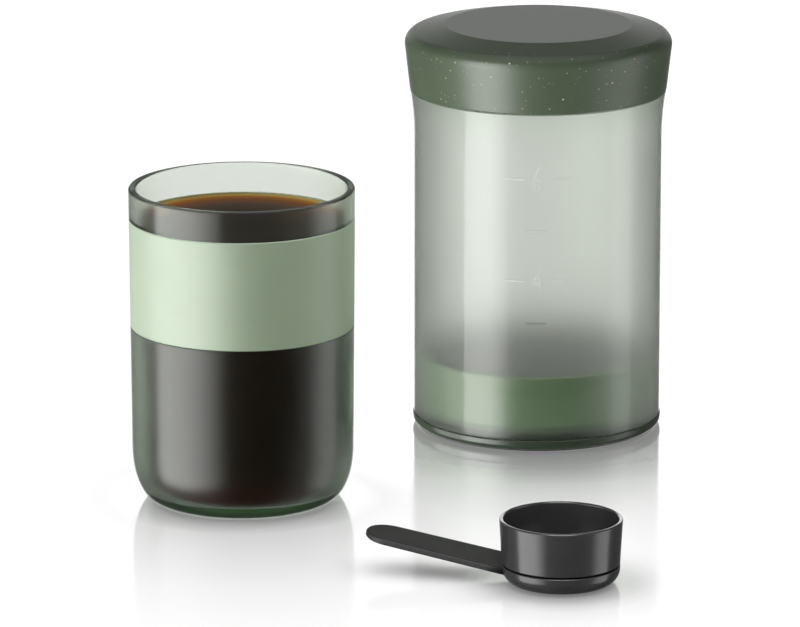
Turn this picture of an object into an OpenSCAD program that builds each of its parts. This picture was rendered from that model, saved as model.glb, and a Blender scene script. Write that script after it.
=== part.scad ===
// Portable steep-and-release coffee maker: a lidded brewing chamber that plugs onto a filter base
// with a drain valve, a sleeved drinking cup, and a dosing scoop. Sizes are in millimetres, +Z is up.
// The origin is on the brewer's axis, on the surface that the set stands on.

/* [Chamber] */
// Outer diameter of the chamber's straight wall
chamber_d = 88; // [82:1:96]
// Thickness of the chamber's wall
chamber_wall = 2.5; // [2.2:0.1:3]
// Height of the chamber from its lower edge to the edge of the lid
chamber_h = 117.8; // [108:0.2:140]
// Height of the flare under the lid
flare_h = 17; // [10:0.5:25]
// How far the flare widens the chamber's radius
flare_out = 1.4; // [1:0.1:2.5]
// Height of the neck that the lid goes over
neck_h = 10; // [9:0.5:12]
// Thickness of the neck's wall
neck_wall = 1.7; // [1.4:0.1:2]

/* [Lid] */
// Height of the lid from the chamber's edge to its flat top
lid_h = 23.4; // [21:0.2:28]
// Thickness of the lid's shell
lid_wall = 2.2; // [1.8:0.1:2.4]
// Outward lean of the lid's side, in degrees
lid_lean = 6.5; // [4:0.5:9]
// Radius of the lid's shoulder
lid_round = 4.4; // [3:0.2:5.4]
// Diameter of the flat disc on top of the lid
disc_d = 66; // [50:1:74]
// Slope of the lid's top outside that disc, in degrees
crown_slope = 12; // [8:1:14]
// Depth that the lid's plug reaches into the neck
plug_h = 9; // [8:0.5:12]
// Thickness of the plug's wall and floor
plug_wall = 1.8; // [1.6:0.1:2.2]
// Thickness of the flange that rests on the neck
flange_t = 1.8; // [1.4:0.1:2.4]

/* [Base] */
// Height of the foot ring that shows under the chamber
foot_h = 4; // [3.4:0.2:5]
// How far the foot ring stands out past the chamber's wall
foot_lip = 0.3; // [0:0.1:1]
// Radius of the foot ring's lower edge
foot_round = 2.2; // [1:0.2:2.6]
// Height of the recess in the underside
recess_h = 11.3; // [11:0.1:13]
// Thickness of the web above that recess
web_t = 2.2; // [1.8:0.1:3]
// Thickness of the collar's wall above the filter's ledge
collar_wall = 1.6; // [1.2:0.1:2]
// Width of the ledge that the filter rests on
ledge_w = 1.25; // [1:0.05:2]
// Diameter of the drain in the web
drain_d = 18; // [16:0.5:22]
// Rise of the web's top from the drain to the collar
fall = 1; // [0.6:0.1:1.6]
// Thickness of the soft pad under the foot ring
pad_t = 1.5; // [1.2:0.1:2]
// Width of that pad
pad_w = 2.2; // [1.6:0.1:2.4]

/* [Valve] */
// Travel of the valve
valve_travel = 3; // [2:0.5:3.5]
// Diameter of the valve's stem
stem_d = 4.8; // [4:0.2:6]
// Diameter of the stem's head
stem_head_d = 10; // [9:0.5:12]
// Thickness of the stem's head
stem_head_t = 1.3; // [1:0.1:2]
// Overlap of the stopper on the land around the drain
seat_w = 2; // [1.5:0.1:3]
// Thickness of the stopper
stopper_t = 2.5; // [2:0.1:3]
// Thickness of the release ring
release_t = 2; // [1.6:0.1:2.2]
// Width of the release ring's rim
release_w = 5.4; // [4:0.2:8]
// Width of the release ring's spokes
release_spoke_w = 5; // [3:0.5:8]
// Thickness of the clip under the hub
clip_t = 0.8; // [0.6:0.1:1]

/* [Filter] */
// Height of the filter's frame
frame_h = 3; // [2.6:0.1:4]
// Width of the frame's rim
frame_w = 3.7; // [3:0.1:5]
// Number of spokes that carry the mesh
frame_spokes = 6; // [3:1:8]
// Thickness of the mesh
mesh_t = 0.4; // [0.3:0.1:0.8]
// Thickness of the ring that clamps the mesh
clamp_t = 1.6; // [1.2:0.1:2.4]

/* [Seals] */
// Height of a seal's band
seal_h = 3; // [2.4:0.1:3.2]
// Depth of a seal's groove
groove_t = 0.9; // [0.7:0.1:1]
// Depth of a seal's rounded face
seal_bulge = 0.5; // [0.3:0.1:0.6]

/* [Cup] */
// Height of the cup
cup_h = 109; // [95:0.5:115]
// Thickness of the cup's wall at its rim
cup_wall = 2.7; // [2.4:0.1:3.4]
// How much thicker the cup's wall is above its heel than at its rim
cup_draft = 1.7; // [0.5:0.1:3]
// Radius of the edges of the cup's rim
cup_rim_round = 0.8; // [0.4:0.1:1.1]
// Thickness of the cup's floor
cup_floor = 4.5; // [4:0.1:7]
// How much narrower the cup's radius is at its heel than at its rim
cup_taper = 0.65; // [0:0.05:1.2]
// Width of the cup's rounded heel
heel_w = 8; // [5:0.5:9]
// Height of the cup's rounded heel
heel_h = 18; // [10:0.5:20]
// Width of the rounded corner inside the heel
heel_in_w = 5; // [3:0.5:7]
// Depth of the hollow under the cup
cup_hollow = 0.8; // [0.5:0.1:1.5]
// Distance from the cup's rim down to the sleeve
sleeve_drop = 10.7; // [6:0.1:20]
// Height of the sleeve
sleeve_h = 37.6; // [20:0.1:38]
// Thickness of the sleeve
sleeve_t = 1; // [0.8:0.1:1.4]
// Place of the cup, along X
cup_x = -103; // [-130:1:-100]
// Place of the cup, along Y
cup_y = -98; // [-130:1:-80]

/* [Scoop] */
// Diameter of the scoop's rim
scoop_d = 40.8; // [36:0.2:50]
// Height of the scoop
scoop_h = 21.8; // [19:0.2:30]
// Thickness of the bowl's wall
scoop_wall = 1.4; // [1.1:0.1:2]
// How much narrower the bowl's radius is at its groove than at its rim
scoop_taper = 0.8; // [0.3:0.1:1.5]
// Height of the dish that the bowl sits in
dish_h = 6.2; // [5:0.2:8]
// Height of the groove between bowl and dish
groove_h = 0.6; // [0.4:0.1:1]
// Width of the dish's rounded edge
dish_round = 5; // [3:0.5:7]
// Depth of the socket in the dish
socket_h = 4.4; // [3:0.2:4.8]
// Thickness of the bowl's floor
bowl_floor = 1.6; // [1.2:0.1:2.4]
// Width of the handle at its tip
handle_w = 17; // [14:0.5:20]
// Width of the handle at the dish
handle_root_w = 18.5; // [14:0.5:24]
// Thickness of the handle
handle_t = 2.2; // [1.8:0.1:3]
// Distance from the bowl's axis to the tip of the handle
handle_reach = 66.5; // [50:0.5:90]
// Rise of the handle towards its tip, in degrees
handle_rise = 9.6; // [2:0.1:14]
// Direction of the handle, in degrees from +X
handle_turn = 165; // [90:1:270]
// Place of the scoop, along X
scoop_x = 4; // [-20:1:40]
// Place of the scoop, along Y
scoop_y = -203; // [-230:1:-190]

/* [Clearances] */
// Radial room around the collar in the chamber
slip_gap = 0.25; // [0.15:0.05:0.4]
// Radial room around a seal
seal_gap = 0.1; // [0.05:0.05:0.2]
// Radial room around the lid's plug in the neck
plug_gap = 0.9; // [0.6:0.1:1.2]
// Height of the line between the lid and the chamber
seam_gap = 0.3; // [0.2:0.1:0.6]
// Radial room around the cup when it is slid into the chamber
nest_gap = 2.8; // [2.6:0.1:4]
// Radial room around the cup's rim in the base's recess
mug_gap = 0.5; // [0.4:0.05:0.7]
// Radial room around the valve's stem
stem_gap = 0.08; // [0.05:0.01:0.1]
// Room between pieces that are pressed together
press_gap = 0.03; // [0.02:0.01:0.05]
// Room above and below the valve at the ends of its travel
stop_gap = 0.3; // [0.2:0.1:0.5]

/* [Hidden] */
$fn = 144;
// Small broken edge on moulded rims
edge = 0.4;
// Overlap of cutting shapes past the faces that they cut
past = 1;
// Overlap of a spoke into the rings that it joins
root = 1;

// Chamber radii and heights
chamber_r = chamber_d / 2;
bore_r = chamber_r - chamber_wall;
neck_r = bore_r + neck_wall;
lid_edge_z = foot_h + chamber_h;
neck_top = lid_edge_z + neck_h;

// Lid
lid_low = lid_edge_z + seam_gap;
lid_top = lid_edge_z + lid_h;
lid_overhang = 0.1;
lid_edge_r = chamber_r + flare_out + lid_overhang;
plug_r = bore_r - plug_gap;
flange_top = neck_top + flange_t;
bead_gap = 0.5;
bead_r = neck_r + bead_gap;
bead_h = 0.8;
lid_rib_t = 1.4;
lid_gasket_drop = 2.5;
lid_gasket_z = neck_top - lid_gasket_drop - seal_h;

// Base
foot_r = chamber_r + foot_lip;
collar_r = bore_r - slip_gap;
cup_r = bore_r - nest_gap;
recess_r = cup_r + mug_gap;
collar_in = collar_r - collar_wall;
ledge_r = collar_in - ledge_w;
drain_r = drain_d / 2;
web_top = recess_h + web_t;
land_margin = 1.5;
land_r = drain_r + seat_w + land_margin;
base_seal_rise = 1.2;
base_seal_z = foot_h + base_seal_rise;
// The housing's foot stands this far off the table, on its pad
pad_proud = 0.4;
pad_shift = 0.5;
pad_r = (foot_r - foot_round + recess_r) / 2 + pad_shift;

// Valve
stem_r = stem_d / 2;
stopper_r = drain_r + seat_w;
stopper_top = web_top + stopper_t;
release_z = recess_h - stop_gap - valve_travel - release_t;
release_gap = 0.9;
release_r = recess_r - release_gap;
hub_r = 6.5;
clip_z = release_z - clip_t;
clip_w = 1.6;
clip_r = stem_r + clip_w;
clip_groove = 0.6;
clip_split = 1.6;
bush_wall = 1.6;
guide_ring_t = 1.6;
guide_spoke_w = 2;
// The guide stays this low under the stopper
guide_h = web_t - edge;

// Filter
filter_z = stopper_top + stem_head_t + valve_travel + 3 * stop_gap;
frame_gap = 0.45;
frame_r = collar_in - frame_gap;
frame_in = frame_r - frame_w;
frame_hub_r = 5;
frame_spoke_w = 2;
mesh_z = filter_z + frame_h;
clamp_lip = 1;
mesh_r = frame_r - clamp_lip;
clamp_z = mesh_z + mesh_t;
filter_sink = 0.2;
collar_top = clamp_z + clamp_t + filter_sink;

// Cup
cup_low_r = cup_r - cup_taper;
foot_ring_w = 4;
sleeve_top = cup_h - sleeve_drop;
sleeve_low = sleeve_top - sleeve_h;
sleeve_gap = 0.05;

// Scoop
bowl_low = dish_h + groove_h;
spigot_z = dish_h - socket_h;
dish_r = scoop_d / 2 - scoop_taper;
socket_wall = 3.2;
socket_r = dish_r - socket_wall;
spigot_gap = 0.2;
spigot_r = socket_r - spigot_gap;
// Overlap of the handle into the dish
handle_root = 4;

// Points on an elliptical arc around a centre, from one angle to another
function bend(centre, width, height, from, to, steps = 10) =
  [for (i = [0 : steps]) let (t = from + (to - from) * i / steps) centre + [width * cos(t), height * sin(t)]];

// Outer radius of the lid's side at a height
function side_r(z) = lid_edge_r + (z - lid_low) * tan(lid_lean);
// Height of the lid's crown at a radius
function crown_z(r) = lid_top - (r - disc_d / 2) * tan(crown_slope);
// Place where the side and the crown of the lid would meet, for a shell that lies in by a thickness
function lid_corner(inset) =
  let (
    s = tan(crown_slope),
    l = tan(lid_lean),
    r = (lid_edge_r - inset + (lid_top - inset - lid_low + disc_d / 2 * s) * l) / (1 + s * l)
  ) [r, lid_top - inset - (r - disc_d / 2) * s];
// Outer radius of the cup at a height above its heel
function cup_r_at(z) = cup_low_r + (cup_r - cup_low_r) * (z - heel_h) / (cup_h - heel_h);
// Outer radius of the scoop's bowl at a height
function bowl_r_at(z) = scoop_d / 2 - scoop_taper * (scoop_h - z) / (scoop_h - bowl_low);

// Ring with a straight inside and outside
module band(inner, outer, z, h) {
  translate([0, 0, z]) difference() {
    cylinder(r = outer, h = h);
    translate([0, 0, -past]) cylinder(r = inner, h = h + 2 * past);
  }
}

// Seal with a band in its groove and a rounded face that reaches past it
module lip_seal(seat_r, reach_r, z) {
  rotate_extrude() polygon(concat(
    [[seat_r, z + press_gap]],
    bend([reach_r - seal_bulge, z + seal_h / 2], seal_bulge, seal_h / 2 - press_gap, -90, 90, 8),
    [[seat_r, z + seal_h - press_gap]]
  ));
}

// Spokes from an inner radius to an outer one
module spokes(count, inner, outer, width, z, h) {
  for (i = [0 : count - 1])
    rotate([0, 0, 90 + i * 360 / count]) translate([inner, -width / 2, z]) cube([outer - inner, width, h]);
}

// Outer cap with a leaning side, a round shoulder and a flat disc on a sloping crown; inside it a bead
// snaps under the liner's flange and a ring rib keeps the flange down
module lid_shell() {
  outer = lid_corner(0);
  inner = lid_corner(lid_wall);
  corner = 90 - lid_lean + crown_slope;
  bisector = (270 - lid_lean + 180 - crown_slope) / 2;
  centre = outer + lid_round / sin(corner / 2) * [cos(bisector), sin(bisector)];
  rib_in = plug_r - lid_rib_t;
  rib_z = flange_top + press_gap;
  bead_z = neck_top - press_gap;
  color([0.19, 0.25, 0.18]) rotate_extrude() polygon(concat(
    [[side_r(lid_low) - lid_wall, lid_low], [side_r(lid_low) - edge, lid_low], [side_r(lid_low + edge), lid_low + edge]],
    bend(centre, lid_round, lid_round, -lid_lean, 90 - crown_slope),
    [[disc_d / 2, lid_top], [0, lid_top], [0, lid_top - lid_wall], [disc_d / 2, lid_top - lid_wall]],
    [[rib_in, crown_z(rib_in) - lid_wall], [rib_in, rib_z], [plug_r, rib_z], [plug_r, crown_z(plug_r) - lid_wall]],
    [inner, [side_r(bead_z) - lid_wall, bead_z], [bead_r, bead_z], [bead_r, bead_z - bead_h]],
    [[side_r(bead_z - 2 * bead_h) - lid_wall, bead_z - 2 * bead_h]]
  ));
}

// Inner pan that plugs the neck and carries the gasket
module lid_liner() {
  flange_r = side_r(neck_top) - lid_wall - press_gap;
  low = neck_top - plug_h;
  color([0.24, 0.29, 0.23]) rotate_extrude() polygon([
    [0, low], [plug_r - 2 * edge, low], [plug_r, low + 2 * edge],
    [plug_r, lid_gasket_z], [plug_r - groove_t, lid_gasket_z],
    [plug_r - groove_t, lid_gasket_z + seal_h], [plug_r, lid_gasket_z + seal_h],
    [plug_r, neck_top], [flange_r, neck_top], [flange_r, flange_top],
    [plug_r - plug_wall + press_gap, flange_top], [plug_r - plug_wall + press_gap, low + plug_wall], [0, low + plug_wall]
  ]);
}

// Soft ring that seals the plug in the neck
module lid_gasket() {
  color([0.5, 0.58, 0.47]) lip_seal(plug_r - groove_t + press_gap, bore_r - seal_gap, lid_gasket_z);
}

// Frosted tube with a flare under the lid and a neck inside it
module chamber() {
  steps = 10;
  color([0.78, 0.82, 0.76, 0.6]) rotate_extrude() polygon(concat(
    [[bore_r, foot_h], [chamber_r - edge, foot_h]],
    [[chamber_r, foot_h + edge]],
    [for (i = [0 : steps]) [chamber_r + flare_out * pow(i / steps, 2), lid_edge_z - flare_h * (1 - i / steps)]],
    [[neck_r, lid_edge_z], [neck_r, neck_top - edge], [neck_r - edge, neck_top], [bore_r, neck_top]]
  ));
}

// Foot ring, recess for a cup's rim, web with its drain, and the collar that plugs into the chamber
module base_housing() {
  color([0.16, 0.22, 0.15]) difference() {
    rotate_extrude() polygon(concat(
      [[recess_r, pad_proud + edge], [recess_r + edge, pad_proud]],
      bend([foot_r - foot_round, pad_proud + foot_round], foot_round, foot_round, -90, 0),
      [[foot_r, foot_h - edge], [foot_r - edge, foot_h]],
      [[collar_r, foot_h], [collar_r, base_seal_z], [collar_r - groove_t, base_seal_z]],
      [[collar_r - groove_t, base_seal_z + seal_h], [collar_r, base_seal_z + seal_h]],
      [[collar_r, collar_top - edge], [collar_r - edge, collar_top], [collar_in, collar_top]],
      [[collar_in, filter_z], [ledge_r, filter_z], [ledge_r, web_top + fall]],
      [[land_r, web_top], [drain_r, web_top], [drain_r, recess_h], [recess_r, recess_h]]
    ));
    band(pad_r - pad_w / 2, pad_r + pad_w / 2, -past, pad_t + past);
  }
}

// Soft ring that seals the collar in the chamber
module base_seal() {
  color([0.1, 0.13, 0.1]) lip_seal(collar_r - groove_t + press_gap, bore_r - seal_gap, base_seal_z);
}

// Soft ring that the brewer stands on
module foot_pad() {
  color([0.09, 0.11, 0.09]) band(pad_r - pad_w / 2 + press_gap, pad_r + pad_w / 2 - press_gap, 0, pad_t - press_gap);
}

// Spider in the drain whose bush guides the valve's stem
module drain_guide() {
  ring_r = drain_r - press_gap;
  bush_r = stem_r + stem_gap + bush_wall;
  color([0.22, 0.27, 0.21]) difference() {
    union() {
      band(ring_r - guide_ring_t, ring_r, recess_h, guide_h);
      translate([0, 0, recess_h]) cylinder(r = bush_r, h = guide_h);
      spokes(3, bush_r - root, ring_r - guide_ring_t / 2, guide_spoke_w, recess_h + edge, guide_h - 2 * edge);
    }
    translate([0, 0, recess_h - past]) cylinder(r = stem_r + stem_gap, h = guide_h + 2 * past);
  }
}

// Soft disc that closes the drain from above
module valve_stopper() {
  color([0.52, 0.6, 0.49]) rotate_extrude() polygon([
    [stem_r + press_gap, web_top], [stopper_r - edge, web_top], [stopper_r, web_top + edge],
    [stopper_r, web_top + stopper_t / 2], [stem_head_d / 2 + edge, stopper_top], [stem_r + press_gap, stopper_top]
  ]);
}

// Headed pin that joins the stopper to the release ring
module valve_stem() {
  tip = clip_z - edge;
  color([0.24, 0.29, 0.23]) rotate_extrude() polygon([
    [0, tip], [stem_r - edge, tip], [stem_r - edge, clip_z - press_gap], [stem_r - clip_groove, clip_z - press_gap],
    [stem_r - clip_groove, release_z], [stem_r, release_z], [stem_r, stopper_top + press_gap],
    [stem_head_d / 2, stopper_top + press_gap], [stem_head_d / 2, stopper_top + stem_head_t - edge],
    [stem_head_d / 2 - edge, stopper_top + stem_head_t], [0, stopper_top + stem_head_t]
  ]);
}

// Spoked ring that a cup's rim pushes up to open the valve
module release_ring() {
  color([0.24, 0.29, 0.23]) difference() {
    union() {
      rotate_extrude() polygon([
        [release_r - release_w, release_z], [release_r - edge, release_z], [release_r, release_z + edge],
        [release_r, release_z + release_t - edge], [release_r - edge, release_z + release_t],
        [release_r - release_w, release_z + release_t]
      ]);
      translate([0, 0, release_z]) cylinder(r = hub_r, h = release_t);
      spokes(3, hub_r - 2 * root, release_r - release_w / 2, release_spoke_w, release_z + edge, release_t - 2 * edge);
    }
    translate([0, 0, release_z - past]) cylinder(r = stem_r + press_gap, h = release_t + 2 * past);
  }
}

// Split spring clip that keeps the release ring on the stem
module stem_clip() {
  color([0.7, 0.7, 0.7]) difference() {
    band(stem_r - clip_groove + press_gap, clip_r, clip_z, clip_t - press_gap);
    translate([0, -clip_split / 2, clip_z - past]) cube([clip_r + past, clip_split, clip_t + 2 * past]);
  }
}

// Spoked carrier under the mesh, with the groove of its gasket
module filter_frame() {
  groove_z = filter_z + (frame_h - seal_h / 2) / 2;
  color([0.24, 0.29, 0.23]) union() {
    rotate_extrude() polygon([
      [frame_in, filter_z], [frame_r - edge, filter_z], [frame_r, filter_z + edge], [frame_r, groove_z],
      [frame_r - groove_t, groove_z], [frame_r - groove_t, groove_z + seal_h / 2], [frame_r, groove_z + seal_h / 2],
      [frame_r, mesh_z], [frame_in, mesh_z]
    ]);
    translate([0, 0, filter_z]) cylinder(r = frame_hub_r, h = frame_h);
    spokes(frame_spokes, frame_hub_r - root, frame_in + root, frame_spoke_w, filter_z + edge, frame_h - 2 * edge);
  }
}

// Soft ring between the filter and the collar
module filter_gasket() {
  h = seal_h / 2 - 2 * press_gap;
  z = filter_z + (frame_h - seal_h / 2) / 2 + press_gap;
  reach = collar_in - seal_gap;
  color([0.52, 0.6, 0.49]) rotate_extrude() polygon([
    [frame_r - groove_t + press_gap, z], [reach - h / 2, z], [reach, z + h / 2],
    [reach - h / 2, z + h], [frame_r - groove_t + press_gap, z + h]
  ]);
}

// Woven steel disc, modelled as a plain sheet
module filter_mesh() {
  color([0.62, 0.63, 0.62]) translate([0, 0, mesh_z]) cylinder(r = mesh_r, h = mesh_t);
}

// Ring that snaps onto the frame and clamps the mesh
module filter_clamp() {
  color([0.24, 0.29, 0.23]) rotate_extrude() polygon([
    [frame_in, clamp_z], [mesh_r + press_gap, clamp_z], [mesh_r + press_gap, mesh_z], [frame_r, mesh_z],
    [frame_r, clamp_z + clamp_t - edge], [frame_r - edge, clamp_z + clamp_t],
    [frame_in + edge, clamp_z + clamp_t], [frame_in, clamp_z + clamp_t - edge]
  ]);
}

// Thick-walled cup with a rounded heel, a hollow foot and a waist that takes the sleeve
module cup() {
  inner_low_r = cup_low_r - cup_wall - cup_draft;
  rim = cup_rim_round;
  foot_in = cup_low_r - heel_w - foot_ring_w;
  color([0.4, 0.46, 0.4, 0.7]) translate([cup_x, cup_y, 0]) rotate_extrude() polygon(concat(
    [[0, cup_hollow], [foot_in - cup_hollow, cup_hollow], [foot_in, 0]],
    bend([cup_low_r - heel_w, heel_h], heel_w, heel_h, -90, 0, 14),
    [[cup_r_at(sleeve_low), sleeve_low], [cup_r_at(sleeve_low) - sleeve_t, sleeve_low]],
    [[cup_r_at(sleeve_top) - sleeve_t, sleeve_top], [cup_r_at(sleeve_top), sleeve_top]],
    bend([cup_r - rim, cup_h - rim], rim, rim, 0, 90, 6),
    bend([cup_r - cup_wall + rim, cup_h - rim], rim, rim, 90, 180, 6),
    bend([inner_low_r - heel_in_w, heel_h], heel_in_w, heel_h - cup_floor, 0, -90, 12),
    [[0, cup_floor]]
  ));
}

// Soft sleeve that lies flush in the cup's waist
module cup_sleeve() {
  low = sleeve_low + sleeve_gap;
  top = sleeve_top - sleeve_gap;
  color([0.66, 0.76, 0.62]) translate([cup_x, cup_y, 0]) rotate_extrude() polygon([
    [cup_r_at(low) - sleeve_t + sleeve_gap, low], [cup_r_at(low), low],
    [cup_r_at(top), top], [cup_r_at(top) - sleeve_t + sleeve_gap, top]
  ]);
}

// Bowl whose spigot sits in the dish's socket
module scoop_bowl() {
  rim = scoop_wall / 2;
  inner = dish_r - scoop_wall;
  fillet = 1;
  well_r = spigot_r - scoop_wall;
  well_z = spigot_z + bowl_floor;
  color([0.13, 0.13, 0.13]) translate([scoop_x, scoop_y, 0]) rotate_extrude() polygon(concat(
    [[0, spigot_z], [spigot_r - edge, spigot_z], [spigot_r, spigot_z + edge], [spigot_r, bowl_low]],
    [[dish_r - edge, bowl_low], [dish_r, bowl_low + edge]],
    bend([scoop_d / 2 - rim, scoop_h - rim], rim, rim, 0, 180, 8),
    [[inner, bowl_low + scoop_wall + fillet], [well_r, bowl_low - fillet]],
    [[well_r, well_z + fillet], [well_r - fillet, well_z], [0, well_z]]
  ));
}

// Dish under the bowl and the flat handle that rises from it
module scoop_handle() {
  handle_len = (handle_reach - handle_w / 2) / cos(handle_rise);
  root_z = dish_h - handle_t - edge - dish_r * tan(handle_rise);
  color([0.13, 0.13, 0.13]) translate([scoop_x, scoop_y, 0]) rotate([0, 0, handle_turn]) difference() {
    union() {
      rotate_extrude() polygon(concat(
        [[0, 0]],
        bend([dish_r - dish_round, dish_round], dish_round, dish_round, -90, 0),
        [[dish_r, dish_h - edge], [dish_r - edge, dish_h], [0, dish_h]]
      ));
      translate([0, 0, root_z]) rotate([0, -handle_rise, 0]) linear_extrude(height = handle_t) union() {
        polygon([
          [dish_r - handle_root, -handle_root_w / 2], [handle_len, -handle_w / 2],
          [handle_len, handle_w / 2], [dish_r - handle_root, handle_root_w / 2]
        ]);
        translate([handle_len, 0]) circle(d = handle_w);
      }
    }
    translate([0, 0, spigot_z]) cylinder(r = socket_r, h = scoop_h);
  }
}

lid_shell();
lid_liner();
lid_gasket();
chamber();
base_housing();
base_seal();
foot_pad();
drain_guide();
valve_stopper();
valve_stem();
release_ring();
stem_clip();
filter_frame();
filter_gasket();
filter_mesh();
filter_clamp();
cup();
cup_sleeve();
scoop_bowl();
scoop_handle();
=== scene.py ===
import math

import bmesh
import bpy
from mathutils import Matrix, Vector


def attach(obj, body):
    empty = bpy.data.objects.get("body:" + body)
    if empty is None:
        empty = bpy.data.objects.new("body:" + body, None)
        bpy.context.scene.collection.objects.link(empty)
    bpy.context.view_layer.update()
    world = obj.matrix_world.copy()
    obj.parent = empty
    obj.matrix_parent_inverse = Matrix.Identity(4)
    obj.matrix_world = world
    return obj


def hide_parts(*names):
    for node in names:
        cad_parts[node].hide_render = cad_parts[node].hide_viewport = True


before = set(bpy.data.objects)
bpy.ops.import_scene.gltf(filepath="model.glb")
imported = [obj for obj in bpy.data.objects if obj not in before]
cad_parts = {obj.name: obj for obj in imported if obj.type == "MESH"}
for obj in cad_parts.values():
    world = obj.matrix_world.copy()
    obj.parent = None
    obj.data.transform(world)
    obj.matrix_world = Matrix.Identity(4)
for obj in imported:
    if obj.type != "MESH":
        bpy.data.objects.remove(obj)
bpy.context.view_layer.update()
MM = 0.001

# Sizes of the brewer, in millimetres and degrees
BREWER_AT = (0.0, 0.0)
CHAMBER_R, BORE_R, NECK_R = 44.0, 41.5, 43.2
FOOT_H, EDGE_Z, NECK_TOP = 4.0, 121.8, 131.8
FLARE_H, FLARE_OUT, FLARE_STEPS = 17.0, 1.4, 14
WALL_LIFT, WALL_STEPS, BORE_RING_Z = 2.0, 12, 70.0
LID_LOW, LID_TOP, LID_EDGE_R = 122.1, 145.2, 45.5
LID_WALL, LID_LEAN, LID_ROUND, DISC_R, CROWN = 2.2, 6.5, 4.4, 33.0, 12.0
PLUG_R, RIB_T, FLANGE_T, BEAD_R, BEAD_H, LID_PLAY = 40.6, 1.4, 1.8, 43.7, 0.8, 0.03
FOOT_R, FOOT_ROUND, FOOT_LOW, FOOT_EDGE = 44.3, 2.2, 0.4, 0.405
PAD_IN_R, PAD_OUT_R, PAD_TOP = 40.05, 42.25, 1.5
COLLAR_R, COLLAR_IN_R, COLLAR_TOP = 41.25, 39.65, 26.4
GROOVE_R, GROOVE_LOW, GROOVE_TOP = 40.35, 5.2, 8.2
LEDGE_R, LEDGE_Z, WEB_Z = 38.4, 21.2, 14.5
LAND_R, LAND_Z, DRAIN_R, RECESS_R, RECESS_TOP = 12.5, 13.5, 9.0, 39.2, 11.3

# Sizes of the cup
CUP_AT, CUP_R, CUP_LOW_R, CUP_H = (-103.0, -98.0), 38.7, 38.05, 109.0
CUP_WALL, CUP_IN_R, CUP_FLOOR, CUP_RIM = 2.7, 33.65, 4.5, 0.8
CUP_RING_R, CUP_HOLLOW, CUP_RING_Z = 26.05, 0.8, 40.0
HEEL_W, HEEL_H, HEEL_IN_W = 8.0, 18.0, 5.0
SLEEVE_LOW, SLEEVE_TOP, SLEEVE_T, SLEEVE_RING_Z = 60.7, 98.3, 1.0, 79.0
BAND_GAP, BAND_T = 0.05, 0.95
COFFEE_Z, COFFEE_GAP, COFFEE_RING_R = 97.7, 0.08, 20.0
MENISCUS = [(0.0, 0.5), (0.5, 0.15), (1.4, 0.0)]
# Where the coffee's painted light changes: a painted reddish glow up its side, and painted amber light out
# from its axis and from front to back
SIDE_GLOW_REACH, EDGE_LIGHT_REACH, BACK_LIGHT_REACH = (4.0, 22.0), (10.0, 35.2), (-12.0, 16.0)

# Sizes of the scoop
SCOOP_AT, SCOOP_R, SCOOP_H, SCOOP_RIM = (4.0, -203.0), 20.4, 21.8, 0.7
BOWL_LOW, BOWL_LOW_R, BOWL_MID = 6.8, 19.6, (20.0, 14.3)
BOWL_IN, BOWL_IN_LOW, BOWL_FLOOR = (18.2, 9.2), (14.8, 5.8), 3.4
DISH_H, DISH_ROUND, DISH_MATT = 6.2, 5.0, 3.0
SPIGOT_Z, SPIGOT_R, SOCKET_R = 1.8, 16.2, 16.4
GRIP_TIP_W, GRIP_ROOT_W, GRIP_T, GRIP_REACH = 17.0, 18.5, 2.2, 66.5
GRIP_RISE, GRIP_TURN, GRIP_DROP, GRIP_PLAY, GRIP_INSET = 9.6, 165.0, 0.4, 0.2, 4.0
GRIP_STEPS, TIP_STEPS = 6, 32
GRIP_EDGE = [(0.9, 0.0), (0.35, 0.14), (0.0, 0.55)]

# The scale on the chamber: heights of its rows, and where a dash starts and ends across the wall
UPPER_Z, LOWER_Z = 98.7, 62.1
LONG_DASHES, SHORT_DASH = ((-12.7, -5.5), (3.7, 10.9)), ((-5.0, 2.2),)
SCALE = ((UPPER_Z, LONG_DASHES), (80.1, SHORT_DASH), (LOWER_Z, LONG_DASHES), (46.9, SHORT_DASH))
FIGURES = (("6", UPPER_Z), ("4", LOWER_Z))
DASH_H, DASH_STEPS, MARK_PROUD, MARK_SUNK = 0.6, 8, 0.3, 0.1
FIGURE_SIZE, FIGURE_DEPTH, FIGURE_SLIM, FIGURE_X = 13.2, 0.5, 0.62, -1.1
# The marks' tone by height, painted to the light on each row with painted shade on the lowest row, the
# heights that the tones span, and where the marks turn milky
MARK_PAINTED_TONES = [(50, 0.30), (55, 0.84), (72, 0.84), (76, 0.64), (84, 0.64), (88, 0.84), (110, 0.84)]
MARK_SPAN, MARK_CLEAR = (40.0, 110.0), (50.0, 56.0)

# Room levels. Angles in degrees: around the set from the front to the right, and up from the horizon
AROUND = [
    (-180, 0.27), (-150, 0.15), (-105, 0.15), (-90, 0.4), (-45, 0.4), (-15, 0.05), (40, 0.05),
    (60, 0.35), (95, 0.4), (115, 0.1), (150, 0.1), (180, 0.3),
]
UPWARD = [(-90, 0.4), (-30, 0.9), (0, 1.0), (18, 1.0), (37, 0.5), (57, 0.22), (90, 0.2)]
OVERHEAD = [(44, 0.0), (60, 0.25)]
ROOM_PEAK = 2.0
# Where metal and plastic mirror the white ground: behind the set, below the horizon
BEHIND = [(-180, 1.0), (-168, 1.0), (-164, 0.0), (164, 0.0), (168, 1.0), (180, 1.0)]
GROUND = [(-46, 0.0), (-38, 1.0), (-3, 1.0), (3, 0.0)]
# Where light mirrored inside a clear wall sees no white: in front of the set, and below the horizon
AHEAD = [(-180, 0.0), (-100, 0.0), (-70, 1.0), (70, 1.0), (100, 0.0), (180, 0.0)]
BELOW = [(-3, 1.0), (0, 0.0)]
# The same on the floor: along Y, in millimetres
AHEAD_FROM, AHEAD_TO = -60.0, -140.0

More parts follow.
